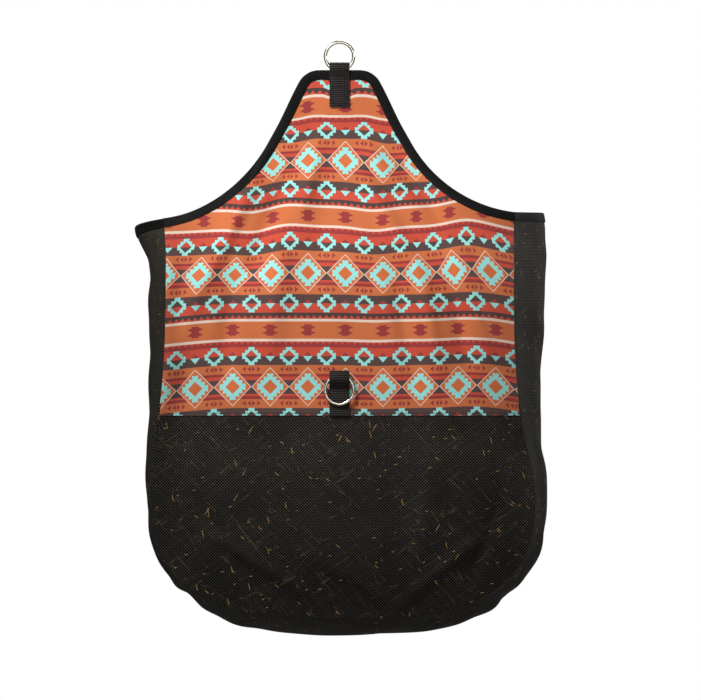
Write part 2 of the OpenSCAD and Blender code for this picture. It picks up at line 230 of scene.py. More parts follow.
# %% Folds
FRONT_FOLDS = [   # start, end, half width and rise of each fold in mm; a positive rise comes forward
    ((-88, -126), (-190, -340), 11, 8.0), ((-52, -130), (-128, -330), 14, -6.5),
    ((-178, -276), (-214, -450), 13, 5.0), ((-128, -250), (-152, -450), 14, -5.0),
    ((-70, -190), (-92, -440), 16, 5.0), ((-22, -110), (-52, -230), 9, 3.5),
    ((16, -140), (114, -324), 11, 8.0), ((96, -256), (132, -452), 12, 6.0),
    ((60, -130), (158, -262), 11, -5.5), ((124, -200), (200, -410), 12, 7.0),
    ((64, -250), (98, -450), 13, -5.5), ((140, -280), (168, -456), 12, -4.5),
    ((-16, -150), (-34, -340), 18, -4.5), ((24, -108), (66, -180), 8, 3.5),
    ((-252, -200), (-252, -640), 34, 18.0), ((-198, -250), (-200, -480), 13, -5.0),
    ((-180, -470), (-196, -600), 18, 3.0), ((186, -470), (196, -600), 18, 3.0),
    ((30, -480), (44, -690), 24, 2.6), ((-120, -500), (-40, -700), 18, 3.2),
    ((-214, -540), (-110, -702), 13, -4.0), ((120, -500), (88, -716), 18, 3.2),
    ((216, -536), (150, -704), 13, -4.2), ((-206, -600), (-20, -716), 9, 3.2),
    ((206, -600), (60, -722), 9, 3.2), ((-60, -640), (90, -726), 8, 2.6),
]
BACK_FOLDS = [    # the same for the back, where a positive rise goes backwards
    ((-120, -262), (-150, -640), 30, 4.0), ((40, -262), (10, -700), 34, -3.5),
    ((150, -262), (120, -640), 28, 4.0), ((-190, -420), (-70, -716), 16, 3.0),
    ((196, -430), (60, -716), 16, 3.0), ((-40, -300), (-60, -600), 18, 2.5),
]


def fold_height(x, z, folds):
    """Sum of soft ridges: a bell curve across each line, and half a sine wave along it."""
    total = np.zeros_like(x)
    for (x0, z0), (x1, z1), half, rise in folds:
        length = math.hypot(x1 - x0, z1 - z0)
        ux, uz = (x1 - x0) / length, (z1 - z0) / length
        along = ((x - x0) * ux + (z - z0) * uz) / length
        across = (x - x0) * uz - (z - z0) * ux
        total += rise * bell(across, 0, half) * np.sin(np.pi * np.clip(along, 0, 1))
    return total


def near_tabs(x, z):
    """1 where webbing is sewn to the front, easing to 0 about 25 mm away."""
    sideways = 1 - ease((np.abs(x) - 15) / 22)
    top = ease((z - TAB_END + 26) / 22)
    lower = ease((z - PRINT_Z + 26) / 20) * ease((PRINT_Z + TAB_LEN + 24 - z) / 20)
    return sideways * np.maximum(top, lower)


# %% The settling field
LEAN, LOW_SHIFT = 0.065, 5.0          # shift to the right: of each mm of depth, and below the belly
LEFT_FLARE, RIGHT_FLARE = -17.0, 9.0  # sideways, of the mouth's left rear corner and the right side
FRONT_DROP, BACK_DROP = 8.0, 26.0     # of the left shoulder
NECK_LIFT, NECK_SPREAD = 3.0, 2.2     # beside the tab
RIGHT_BACK = 22.0                     # how far back the front's right side lies
FRONT_FOLD_GAIN = 1.3                 # the front's folds stand this much higher than listed


def settle(points):
    """Moves points of the bag from the drawn shape to the settled one.

    X shifts to the right with depth, and a little more below the belly. The left rear corner of the
    mouth flares to the left, and the right side spreads. The left shoulder drops, more at the back.
    Beside the tab the neck stands a little higher and wider. The front's right side lies further
    back than its middle, while a wide fold brings the left side forward. Folds move Y, and die out
    70 mm into the bag from the front and 40 mm from the back.
    """
    x, y, z = points[..., 0], points[..., 1], points[..., 2]
    depth = np.clip(y - front_y(z), 0, None)
    at_neck = ease((z + 110) / 60)
    sideways = LEAN * depth * ease((-z - 180) / 60) + LOW_SHIFT * ease((-z - 480) / 95)
    corner = ease((np.abs(x) - 190) / 40) * mix(0.15, 1, np.clip(depth / 90, 0, 1))
    flare = np.where(x < 0, LEFT_FLARE * ease((z + 268) / 52), RIGHT_FLARE * ease((z + 560) / 330))
    sideways += corner * flare
    sideways += NECK_SPREAD * np.sign(x) * ease((np.abs(x) - 18) / 16) * at_neck
    left = ease((-x - 60) / 170) * ease((z + 350) / 125)
    drop = left * mix(FRONT_DROP, BACK_DROP, np.clip(depth / (BACK_Y - FRONT_Y), 0, 1))
    beside_tab = 1 - bell(np.clip(np.abs(x) - 13, 0, None), 0, 5)
    drop -= NECK_LIFT * beside_tab * at_neck
    in_front = (1 - ease((depth - 10) / 60)) * (1 - near_tabs(x, z)) * ease((-z - 70) / 50)
    pillow = RIGHT_BACK * np.clip(x / 235, 0, 1.1) ** 5 * ease((-z - 190) / 60)
    front = (pillow - FRONT_FOLD_GAIN * fold_height(x, z, FRONT_FOLDS)) * in_front
    behind = fold_height(x, z, BACK_FOLDS) * ease((y - 30) / 38) * ease((-z - 262) / 60)
    return np.stack([x + sideways, y + front + behind, z - drop], -1)


rear_corner = np.array([-BACK_EDGE[0], BACK_Y, SHOULDER_Z])
print("left rear corner settles by", (settle(rear_corner) - rear_corner).round(1), "mm")

# %% [markdown]
# ## Cloth with a thickness
#
# A panel of cloth is its middle surface with half a thickness on each side. Each row of points runs
# across the outer face and back across the inner one, so the sheet is one closed skin with its cut
# edges. The inner face is marked, because a print is on one side of a cloth only.

# %% Closed cloth from its middle surface
BAG_MIDDLE = np.array([0.0, 4.0, -450.0])


def outward_normals(points):
    """Unit vectors square to a grid, on the side away from the bag's middle."""
    normals = np.cross(np.gradient(points, axis=0), np.gradient(points, axis=1))
    normals /= np.linalg.norm(normals, axis=-1, keepdims=True)
    side = np.sign(np.einsum("ijk,ijk->", normals, points - BAG_MIDDLE))
    return normals * side


def cloth_panel(name, middle, uv, thickness=CLOTH_T):
    """A closed sheet: middle plus and minus half a thickness along its normals."""
    half = outward_normals(middle) * thickness / 2
    rows, columns = middle.shape[:2]
    skin = np.concatenate([middle + half, (middle - half)[:, ::-1]], 1)
    marks = np.concatenate([uv, uv[:, ::-1], uv[:, :1]], 1)
    faces, corners = grid_faces(rows, 2 * columns, wrap_columns=True)
    j = np.arange(columns - 1)
    edge = np.stack([j + 1, j, 2 * columns - 1 - j, 2 * columns - 2 - j], 1)
    last = edge[:, ::-1] + (rows - 1) * 2 * columns
    faces = np.concatenate([faces, edge, last])
    flat = marks[:, :-1].reshape(-1, 2)
    uvs = np.concatenate([marks.reshape(-1, 2)[corners], flat[edge], flat[last]])
    sheet = make_piece(name, skin.reshape(-1, 3), faces, uvs)
    inner = np.zeros((rows, 2 * columns), np.float32)
    inner[:, columns:] = 1
    sheet.data.attributes.new("inner_face", "FLOAT", "POINT").data.foreach_set("value", inner.ravel())
    return sheet


# %% [markdown]
# ## The printed panel
#
# This is one piece of woven polyester, printed before it was cut. Its rows follow the neckline and
# then the sides, and the last few millimetres of each side roll inwards, where the cloth turns into
# the seam. The pattern's own coordinates are the cloth's, in real lengths, with the slight pull that
# the folds give the stripes.


# %% Printed panel
def print_marks(x, z):
    """Pattern coordinates: across is x and down is -z, less how far the stripes sag in mm.

    Four folds below the neck draw the stripes down or up, less and less towards the hem. The cloth
    also sags towards its left and right seams. The stripes of the neck arch over the tab, so they
    are lower at its sides, and near the top edge all of them lie a little lower. High up the folds
    take in some width, so motifs are narrower there.
    """
    high = bell(np.clip(-z - 235, 0, None), 0, 60)
    sag = high * (5.5 * bell(x, -111, 28) - 2.5 * bell(x, -63, 28))
    sag += (0.25 + 0.75 * high) * (5 * bell(x, 44, 30) - 8.5 * bell(x, 162, 32))
    sag *= ease((-z - 110) / 60)
    sag += 8 * np.clip((-x - 130) / 98, 0, 1) ** 1.5 * ease((-z - 280) / 70)
    sag += 5 * np.clip((x - 190) / 38, 0, 1) ** 1.5
    sag += 4.2 * ease((z + 115) / 35) + 5.8 * ease((np.abs(x) - 28) / 36) * ease((z + 190) / 50)
    taken_in = 0.13 * np.clip(x - 57, 0, None) - 0.09 * np.clip(-50 - x, 0, None)
    return np.stack([x + taken_in * high, -z - sag], -1)


def printed_panel():
    """Rows from the neckline, then down the sides to the hem; each row spans the panel's width."""
    sides = around(FRONT_EDGE, np.linspace(2, 2 - (PRINT_Z - SHOULDER_Z) / (BELLY_Z - SHOULDER_Z), 84))[1:]
    half, z = np.concatenate([neckline(88), sides]).T
    across = np.linspace(-1, 1, 131)
    x = half[:, None] * across
    z = np.repeat(z[:, None], len(across), 1)
    to_edge = half[:, None] - np.abs(x)
    roll = 1.7 * (1 - ease(to_edge / 5)) * ease((-z - 225) / 12)
    middle = settle(np.stack([x, front_y(z) + roll, z], -1))
    return cloth_panel("print_panel", middle, print_marks(x, z))


print_panel = printed_panel()

# %% [markdown]
# ## The mesh panels
#
# Front and back mesh are cut to a four-sided outline: a top edge, two sides and a rounded bottom. A
# Coons patch fills such an outline: it blends the top with the bottom and the left with the right,
# and takes away the corners that it has then counted twice.


# %% Filling four edges
def coons(top, bottom, left, right):
    """Points inside four curves: the two blends added, less the blend of the four corners."""
    u = np.linspace(0, 1, len(top))[None, :, None]
    v = np.linspace(0, 1, len(left))[:, None, None]
    corners = mix(mix(top[0], top[-1], u), mix(bottom[0], bottom[-1], u), v)
    return mix(top[None], bottom[None], v) + mix(left[:, None], right[:, None], u) - corners


def panel_outline(edge, start_s, top, rows, columns):
    """The patch from a top curve down both sides to the corner seams, and round the bottom."""
    side = evenly(2 - start_s, 2 - CORNER_S, rows, edge)
    right = around(edge, side)
    left = right * [-1, 1]
    bottom = around(edge, evenly(CORNER_S - 2, 2 - CORNER_S, columns, edge))
    return coons(top, bottom, left, right)


# %% Front mesh
def front_mesh_panel():
    """From the hem's lap down. It bellies forward below the hem, by up to 9 mm, and not at its seams."""
    rows, columns = 91, 141
    start_s = (PRINT_Z + 15 - SHOULDER_Z) / (BELLY_Z - SHOULDER_Z)
    ends = around(FRONT_EDGE, np.array([start_s - 2, 2 - start_s]))
    top = np.stack([np.linspace(ends[0, 0], ends[1, 0], columns), np.full(columns, ends[0, 1])], -1)
    xz = panel_outline(FRONT_EDGE, start_s, top, rows, columns)
    u, v = np.linspace(0, 1, columns)[None], np.linspace(0, 1, rows)[:, None]
    belly = 9 * np.sin(np.pi * u) ** 0.7 * ease((PRINT_Z - 3 - xz[..., 1]) / 90) * ease((1 - v) / 0.4)
    y = FRONT_Y + CLOTH_T + SEW_GAP - belly
    return cloth_panel("front_mesh", settle(np.stack([xz[..., 0], y, xz[..., 1]], -1)), xz)


front_mesh = front_mesh_panel()


# %% Back mesh
def mouth_z(x):
    """Height of the back's top edge: level at the corners, 40 mm lower in the middle."""
    return SHOULDER_Z - 40 * np.clip(1 - (x / BACK_EDGE[0]) ** 2, 0, None) ** 1.5


def back_mesh_panel():
    """From the mouth down, bellying backwards by up to 4 mm."""
    rows, columns = 151, 141
    x = np.linspace(-BACK_EDGE[0], BACK_EDGE[0], columns)
    xz = panel_outline(BACK_EDGE, 0.0, np.stack([x, mouth_z(x)], -1), rows, columns)
    u, v = np.linspace(0, 1, columns)[None], np.linspace(0, 1, rows)[:, None]
    y = BACK_Y + 4 * np.sin(np.pi * u) ** 0.7 * ease(v / 0.3) * ease((1 - v) / 0.3)
    return cloth_panel("back_mesh", settle(np.stack([xz[..., 0], y, xz[..., 1]], -1)), xz)


back_mesh = back_mesh_panel()

# %% [markdown]
# ## The gussets
#
# Three strips of mesh join the front to the back: one down each side and one under the bottom. They
# bow outwards between the seams and crumple a little. Where two strips are sewn together their thick
# allowances hold the cloth in, so the bow is pinched there, which notches the bag's outline.


# %% Gusset surface
MOUTH_BOW, LOW_BOW = 15, 10           # how far the strip bows out at the mouth, and from the belly on
GUSSET_WIDTH = 140                    # along the bowed strip from seam to seam


def outward(s):
    """Direction square to the outline between front and back: the turned tangent, as (x, z)."""
    middle = lambda v: (outline(FRONT_EDGE, v) + outline(BACK_EDGE, v)) / 2
    tangent = middle(np.minimum(s + 0.02, 2)) - middle(np.maximum(s - 0.02, 0))
    normal = np.stack([-tangent[..., 1], tangent[..., 0]], -1)
    normal[s <= 0] = [1, 0]
    normal[s >= 2] = [0, -1]
    return normal / np.linalg.norm(normal, axis=-1, keepdims=True)


def crumple(length, t):
    """Small creases in mm: three crossing sine waves of unlike lengths, still at both seams."""
    waves = (np.sin(length / 13 + 4 * t) + 0.8 * np.sin(length / 31 - 5 * t + 1.3)
             + 0.5 * np.sin(length / 7.5 + 9 * t + 2.1))
    return 1.1 * waves * np.sin(np.pi * t) ** 1.2


def gusset(r, t, creased=True):
    """Point of the gusset: r round the bag from -2 to 2, t from 0 at the front seam to 1 at the back."""
    s, side = 2 - np.abs(r), np.where(r < 0, -1.0, 1.0)
    normal = outward(s)
    pinch = 1 - 0.62 * bell(s, CORNER_S, 0.055)
    bow = mix(MOUTH_BOW, LOW_BOW, np.clip(s, 0, 1)) * np.sin(np.pi * t) * pinch
    if creased:
        bow = bow + crumple(r * 300, t) * ease((s - 0.03) / 0.12)
    xz = mix(outline(FRONT_EDGE, s), outline(BACK_EDGE, s), t[..., None]) + normal * bow[..., None]
    start = front_y(outline(FRONT_EDGE, s)[..., 1]) + 1.2
    y = mix(start, BACK_Y - CLOTH_T / 2 - SEW_GAP, t)
    return np.stack([side * xz[..., 0], y, xz[..., 1]], -1)


def gusset_strip(name, low, high, rows):
    """One gusset as a grid: rows round the bag, columns from front to back."""
    columns = 49
    r = np.repeat(evenly(low, high, rows)[:, None], columns, 1)
    t = np.repeat(np.linspace(0, 1, columns)[None], rows, 0)
    middle = settle(gusset(r, t))
    centre = middle[:, columns // 2]
    length = np.cumsum(np.linalg.norm(np.diff(centre, axis=0, prepend=centre[:1]), axis=1))
    marks = np.stack([t * GUSSET_WIDTH, np.repeat(length[:, None], columns, 1)], -1)
    return cloth_panel(name, middle, marks)


gusset_left = gusset_strip("gusset_mesh_left", -2, CORNER_S - 2, 171)
gusset_right = gusset_strip("gusset_mesh_right", 2 - CORNER_S, 2, 171)
gusset_bottom = gusset_strip("gusset_mesh_bottom", CORNER_S - 2, 2 - CORNER_S, 151)

# %% [markdown]
# ## A profile carried along a path
#
# Tape and webbing are long and have the same section everywhere, so they are a profile carried along
# a path. At each point of the path two directions place the profile, here called out and up. The
# ends are closed with a cap of the profile's own shape.


# %% Sweep
def unit(vectors):
    """The same directions with length 1."""
    return vectors / np.linalg.norm(vectors, axis=-1, keepdims=True)


def sweep(name, path, out, up, profile, shape=None):
    """Point (i, j) is path[i] + out[i] * profile[j, 0] + up[i] * profile[j, 1]."""
    points = path[:, None] + out[:, None] * profile[None, :, :1] + up[:, None] * profile[None, :, 1:]
    points = settle(points) if shape is None else shape(points)
    rows, columns = points.shape[:2]
    along = np.cumsum(np.linalg.norm(np.diff(path, axis=0, prepend=path[:1]), axis=1))
    closed = np.concatenate([profile, profile[:1]])
    round_it = np.cumsum(np.linalg.norm(np.diff(closed, axis=0, prepend=closed[:1]), axis=1))
    marks = np.stack(np.meshgrid(round_it, along), -1).reshape(-1, 2)
    faces, corners = grid_faces(rows, columns, wrap_columns=True)
    caps = [list(range(columns))[::-1], [k + (rows - 1) * columns for k in range(columns)]]
    return make_piece(name, points.reshape(-1, 3), faces, marks[corners], caps)


# %% [markdown]
# ## Binding tape
#
# The tape is folded over the cloth's edge and sewn through. Its section is a hairpin: an outer line
# with a round fold, and an inner line that leaves room for the cloth. Each leg is slightly puffed
# between the fold and its row of stitches.


# %% Hairpin section
def hairpin(cloth):
    """Closed section of folded tape: out runs past the edge, up runs across the cloth."""
    outer, inner = cloth / 2 + SEW_GAP + TAPE_T, cloth / 2 + SEW_GAP
    leg = np.linspace(-TAPE_W, 0, 8)
    puff = TAPE_PUFF * np.sin(np.pi * np.linspace(0, 1, 8)) ** 0.7
    turn = np.radians(np.linspace(-75, 75, 6))
    fold = lambda radius: np.stack([radius * np.cos(turn), radius * np.sin(turn)], -1)
    lower = np.stack([leg, -outer - puff], -1)
    upper = np.stack([leg, outer + puff], -1)[::-1]
    inside = np.array([[-TAPE_W, inner], [-0.4, inner], [0.15, 0], [-0.4, -inner], [-TAPE_W, -inner]])
    return np.concatenate([lower, fold(outer), upper, inside])


OVERHANG = 1.8                        # the tape runs on past the panel's corner, and covers it
NECK_HALF = neckline(90)
last_step = NECK_HALF[-1] - NECK_HALF[-2]
past_corner = NECK_HALF[-1] + OVERHANG * last_step / np.linalg.norm(last_step)
NECK_HALF = np.concatenate([NECK_HALF, [past_corner]])
NECK_PATH = np.concatenate([NECK_HALF[::-1] * [-1, 1], NECK_HALF])


def on_front(xz):
    """Path points and directions on the front panel: its outward normal, and square to the path."""
    path = np.stack([xz[:, 0], front_y(xz[:, 1]), xz[:, 1]], -1)
    tangent = unit(np.gradient(path, axis=0))
    slope = (front_y(xz[:, 1] + 1) - front_y(xz[:, 1] - 1)) / 2
    normal = unit(np.stack([np.zeros_like(slope), -np.ones_like(slope), slope], -1))
    out = unit(np.cross(normal, tangent))
    return path, out * np.sign(out[:, 2].mean()), normal


neck_path, neck_out, neck_normal = on_front(NECK_PATH)
neck_binding = sweep("neck_tape", neck_path, neck_out, neck_normal, hairpin(CLOTH_T))


# %% Tape round the mouth
def side_mouth_path(side, count=40):
    """Along a side gusset's top edge: out is up its face, up is away from the bag."""
    r, t = np.full(count, side * 2.0), np.linspace(0.004, 0.985, count)
    path = gusset(r, t, creased=False)
    rim = gusset(r - side * TAPE_W / (SHOULDER_Z - BELLY_Z), t, creased=False)
    out = unit(path - rim)
    up = unit(np.cross(np.gradient(path, axis=0), out))
    return path, out, up * np.sign(up[count // 2, 0] * side)


mouth_bindings = [sweep(name, *side_mouth_path(side), hairpin(CLOTH_T))
                  for name, side in [("mouth_tape_left", -1), ("mouth_tape_right", 1)]]

mouth_x = np.linspace(-BACK_EDGE[0] + 0.8, BACK_EDGE[0] - 0.8, 121)
mouth_path = np.stack([mouth_x, np.full_like(mouth_x, BACK_Y), mouth_z(mouth_x)], -1)
mouth_up = np.repeat([[0.0, 1.0, 0.0]], len(mouth_x), 0)
mouth_out = unit(np.cross(np.gradient(mouth_path, axis=0), mouth_up))
mouth_out *= np.sign(mouth_out[len(mouth_x) // 2, 2])
mouth_bindings.append(sweep("mouth_tape_back", mouth_path, mouth_out, mouth_up, hairpin(CLOTH_T)))

# %% [markdown]
# ## Seam allowances inside the bag
#
# Where two panels meet, their cut edges stand inwards together, wrapped in the same tape. From
# outside they only show as a firm line, but they can be seen through the mouth, so each is a strip
# with rounded edges.


# %% Bound seams
def rounded_bar(width, thick, radius, steps=4):
    """A rectangle with rounded corners, centred on 0: four quarter circles in turn."""
    corners = [(1, 1, 0), (-1, 1, 90), (-1, -1, 180), (1, -1, 270)]
    turn = np.linspace(0, 90, steps)
    parts = [np.stack([sx * (width / 2 - radius) + radius * np.cos(np.radians(start + turn)),
                       sz * (thick / 2 - radius) + radius * np.sin(np.radians(start + turn))], -1)
             for sx, sz, start in corners]
    return np.concatenate(parts)


def whole_seam(name, edge, lean, y_of):
    """A strip all round a seam, standing inwards at 45 degrees towards the bag's middle."""
    r = evenly(-1.96, 1.96, 221, edge)
    flat = outward(2 - np.abs(r)) * np.stack([np.where(r < 0, -1.0, 1.0), np.ones_like(r)], -1)
    xz = around(edge, r)
    base = np.stack([xz[:, 0], y_of(xz[:, 1]), xz[:, 1]], -1)
    inward = np.stack([-flat[:, 0], np.full(len(r), lean), -flat[:, 1]], -1) * math.sqrt(0.5)
    across = np.stack([flat[:, 0], np.full(len(r), lean), flat[:, 1]], -1) * math.sqrt(0.5)
    path = base + inward * (2.4 + SEAM_W / 2)      # its near edge is 2.4 mm from the seam
    return sweep(name, path, inward, across, rounded_bar(SEAM_W, SEAM_T, 0.9))


front_seam = whole_seam("front_seam_tape", FRONT_EDGE, 1.0, lambda z: front_y(z) + 1.8)
back_seam = whole_seam("back_seam_tape", BACK_EDGE, -1.0, lambda z: np.full_like(z, BACK_Y - 0.65))


def corner_seam(name, side):
    """The strip across the gusset where side and bottom are joined, square to the cloth."""
    t = np.linspace(0.1, 0.9, 30)
    r = np.full_like(t, side * (2 - CORNER_S))
    normal = outward(np.full_like(t, CORNER_S)) * [side, 1]
    inward = np.stack([-normal[:, 0], np.zeros_like(t), -normal[:, 1]], -1)
    across = np.stack([normal[:, 1], np.zeros_like(t), -normal[:, 0]], -1)
    path = gusset(r, t, creased=False) + inward * (1.6 + SEAM_W / 2)
    return sweep(name, path, inward, across, rounded_bar(SEAM_W, SEAM_T, 0.9))


corner_seams = [corner_seam("corner_tape_left", -1), corner_seam("corner_tape_right", 1)]

# %% [markdown]
# ## Webbing tabs
#
# Each tab is one length of 25 mm webbing folded round a ring. The upper one straddles the neck, with
# a leg on each face. The lower one has both legs on the front. The path is drawn in the plane that
# cuts the tab from front to back: straight legs, and an arc round the ring's wire.


# %% Paths of the webbing
def arc(centre, radius, start, end, count=40):
    """Points (y, z) on a circle between two angles in degrees."""
    a = np.radians(np.linspace(start, end, count))
    return np.stack([centre[0] + radius * np.cos(a), centre[1] + radius * np.sin(a)], -1)


def leaving_angle(centre, radius, point, side):
    """Angle at which a straight run to a point leaves a circle, so that it is tangent to it."""
    dy, dz = point[0] - centre[0], point[1] - centre[1]
    return math.degrees(math.atan2(dz, dy) + side * math.acos(radius / math.hypot(dy, dz)))


def webbing_tab(name, yz, count=150):
    """Webbing of full width along a path in the YZ plane."""
    yz = resample(yz, count)
    path = np.stack([np.zeros(count), yz[:, 0], yz[:, 1]], -1)
    wide = np.repeat([[1.0, 0.0, 0.0]], count, 0)
    thick = unit(np.cross(wide, np.gradient(path, axis=0)))
    return sweep(name, path, wide, thick, rounded_bar(WEB_W, WEB_T, 0.6))


# %% Upper and lower tab
eye, loop = (0.0, PIVOT_Z), LOOP_R + WEB_T / 2
leg_y = CLOTH_T / 2 + SEW_GAP + TAPE_T + SEW_GAP + WEB_T / 2 + TAPE_PUFF
leg_top = NECK_Z - 4
start = leaving_angle(eye, loop, (leg_y, leg_top), 1)
upper = np.concatenate([[[leg_y, TAB_END], [leg_y, leg_top]], arc(eye, loop, start, 180 - start),
                        [[-leg_y, leg_top], [-leg_y, TAB_END]]])
hang_tab = webbing_tab("webbing_tab_upper", upper)

face = FRONT_Y - CLOTH_T / 2 - SEW_GAP
eye = (face - LOOP_R - WEB_T, PRINT_Z + TAB_LEN - WEB_T - LOOP_R - 2.5)
front_leg, meet = face - WEB_T * 1.5, eye[1] - LOOP_R * 2.2
end = leaving_angle(eye, loop, (front_leg, meet), -1) % 360
lower = np.concatenate([[[eye[0] + loop, PRINT_Z], [eye[0] + loop, eye[1]]],
                        arc((eye[0], eye[1] + 2.5), loop, 0, 180), arc(eye, loop, 180, end),
                        [[front_leg, meet], [front_leg, PRINT_Z]]])
lower_tab = webbing_tab("webbing_tab_lower", lower)
print("lower ring hangs at y", round(eye[0], 2), "z", round(eye[1], 2))

# %% [markdown]
# ## Rings
#
# Both rings are round steel wire, bent and butt-welded, then nickel plated. A torus is a circle
# carried round a circle. The weld stands out by 0.16 mm, 9 mm along from the ring's lowest point. On
# the upper ring that part lies in the webbing, as a ring turns its smooth side to the hook.


# %% Welded ring
def welded_ring(name, y, z):
    """Torus in the XZ plane: a circle of RING_R for the centre line, one of WIRE_R plus the weld's bead."""
    steps, sides = 144, 28
    a = np.linspace(0, 2 * np.pi, steps, endpoint=False)[:, None]
    b = np.linspace(0, 2 * np.pi, sides, endpoint=False)[None]
    from_lowest = (a - 1.5 * np.pi) * RING_R
    wire = WIRE_R + 0.16 * bell(from_lowest, 9, 1.3)
    reach = RING_R + wire * np.cos(b)
    points = np.stack([reach * np.cos(a), y + wire * np.sin(b), z + reach * np.sin(a)], -1)
    faces, corners = grid_faces(steps, sides, True, True)
    round_wire = np.linspace(0, 2 * np.pi * WIRE_R, sides + 1)
    round_ring = np.linspace(0, 2 * np.pi * RING_R, steps + 1)
    marks = np.stack(np.meshgrid(round_wire, round_ring), -1).reshape(-1, 2)
    return make_piece(name, points.reshape(-1, 3), faces, marks[corners])


hang_ring = welded_ring("steel_ring_upper", 0.0, RING_Z)
lower_ring = welded_ring("steel_ring_lower", eye[0], eye[1] - PIVOT_DROP)

# %% [markdown]
# ## Stitches
#
# A row of lockstitch is a line of short, plump threads, each sunk a little at its ends. One small
# shape is copied to every place by array arithmetic: its length, width and height axes are given for
# each stitch, so that all the stitches of a row are one sum.

# %% One stitch, copied
STITCH_RINGS = [(-0.5, 0.35), (-0.3, 0.95), (0.3, 0.95), (0.5, 0.35)]   # place along it, and radius
SIDES = 6
STITCH = np.array([[along, rise * math.cos(a), rise * math.sin(a)]
                   for along, rise in STITCH_RINGS
                   for a in np.linspace(0, 2 * math.pi, SIDES, endpoint=False)])


def stitches(name, centres, along, up, length=2.4, thread=0.34):
    """Copies the stitch: centre + along * length * a + side * thread * b + up * thread * c."""
    side = unit(np.cross(up, along))
    points = (centres[:, None] + along[:, None] * length * STITCH[None, :, :1]
              + side[:, None] * thread * STITCH[None, :, 1:2] + up[:, None] * thread * STITCH[None, :, 2:])
    faces, marks = grid_faces(len(STITCH_RINGS), SIDES, wrap_columns=True)
    shift = len(STITCH) * np.arange(len(centres))
    every = (faces[None] + shift[:, None, None]).reshape(-1, 4)
    ends = np.array([[5, 4, 3, 0], [3, 2, 1, 0], [18, 19, 20, 21], [18, 21, 22, 23]])   # two each end
    caps = (ends[None] + shift[:, None, None]).reshape(-1, 4)
    marks = np.stack([marks % (SIDES + 1), marks // (SIDES + 1)], -1).astype(float)
    uv = np.tile(marks, (len(centres), 1, 1))
    uv = np.concatenate([uv, np.zeros((len(caps), 4, 2))])
    return make_piece(name, points.reshape(-1, 3), np.concatenate([every, caps]), uv)


# %% Rows on the two tabs
BOX_HALF, BOX_INSET = 9.7, 1.6        # half the box's width, and how far its rows stop from its corners


def row(start, end, pitch=3.2):
    """Centres and directions of a straight row of stitches between two points (x, z)."""
    start, end = np.array(start, float), np.array(end, float)
    count = max(1, int(np.linalg.norm(end - start) // pitch))
    centres = start + (end - start) * ((np.arange(count) + 0.5) / count)[:, None]
    return centres, np.repeat(unit(end - start)[None], count, 0)


def box_rows(low, high):
    """Four rows in a box: the lower and the upper one, then the left and the right one."""
    short = BOX_HALF - BOX_INSET
    level = [row((-short, z), (short, z)) for z in (low, high)]
    upright = [row((x, low + BOX_INSET), (x, high - BOX_INSET)) for x in (-BOX_HALF, BOX_HALF)]
    return level + upright


def stitched_face(name, rows, faces):
    """Rows of stitches in XZ, laid on each face given as a depth y and the way it looks, -1 or 1."""
    xz = np.concatenate([centres for centres, _ in rows])
    way = np.concatenate([along for _, along in rows])
    centres = np.concatenate([np.insert(xz, 1, y + look * 0.05, axis=1) for y, look in faces])
    along = np.concatenate([np.insert(way, 1, 0.0, axis=1) for _ in faces])
    up = np.concatenate([np.repeat([[0.0, float(look), 0.0]], len(xz), 0) for _, look in faces])
    return stitches(name, centres, along, up)


tacks = [row((-BOX_HALF, NECK_Z - below), (BOX_HALF, NECK_Z - below)) for below in (6.7, 4.3)]
upper_rows = box_rows(TAB_END + 3, NECK_Z - TAPE_W - 6) + tacks
outside = leg_y + WEB_T / 2
upper_stitches = stitched_face("thread_upper_tab", upper_rows, [(-outside, -1), (outside, 1)])
lower_rows = box_rows(PRINT_Z + 3, PRINT_Z + 17)
lower_stitches = stitched_face("thread_lower_tab", lower_rows, [(face - 2 * WEB_T, -1)])


# %% Rows along the tape and the hem
def edge_row(name, path, out, up, setback, height, pitch=3.0):
    """A row that follows a path, set back from the fold and lying on the tape's outer face."""
    count = int(np.linalg.norm(np.diff(path, axis=0), axis=1).sum() // pitch)
    line = path - out * setback + up * height
    grid = resample(np.concatenate([line, up], 1), count * 2 + 1)
    ends = settle(grid[::2, :3])
    centres = (ends[1:] + ends[:-1]) / 2
    return stitches(name, centres, unit(ends[1:] - ends[:-1]), unit(grid[1::2, 3:]))


TAPE_TOP = CLOTH_T / 2 + SEW_GAP + TAPE_T + 0.28
SETBACK = 8.6                         # from the tape's fold to its row of stitches
edge_threads = [edge_row("thread_neck_tape", neck_path, neck_out, neck_normal, SETBACK, TAPE_TOP)]
for name, side in [("thread_mouth_left", -1), ("thread_mouth_right", 1)]:
    edge_threads.append(edge_row(name, *side_mouth_path(side), SETBACK, TAPE_TOP))
edge_threads.append(edge_row("thread_mouth_back", mouth_path, mouth_out, mouth_up, SETBACK, TAPE_TOP))

hem_threads = []
for name, start_x, end_x in [("thread_hem_left", -224.0, -16.0), ("thread_hem_right", 16.0, 224.0)]:
    x = np.linspace(start_x, end_x, 140)
    hem = np.stack([x, np.full_like(x, FRONT_Y), np.full_like(x, PRINT_Z + 3.0)], -1)
    facing = np.repeat([[0.0, -1.0, 0.0]], len(x), 0)
    hem_threads.append(edge_row(name, hem, np.zeros_like(hem), facing, 0.0, CLOTH_T / 2 + 0.05))

# %% [markdown]
# ## Materials
#
# Every finish starts from a real one. Colours are written as the hex values that a designer would
# read off a swatch, and one function turns them to the linear values that light is added up in. One
# small function adds a node, and a table of sums can be worked down in a loop.


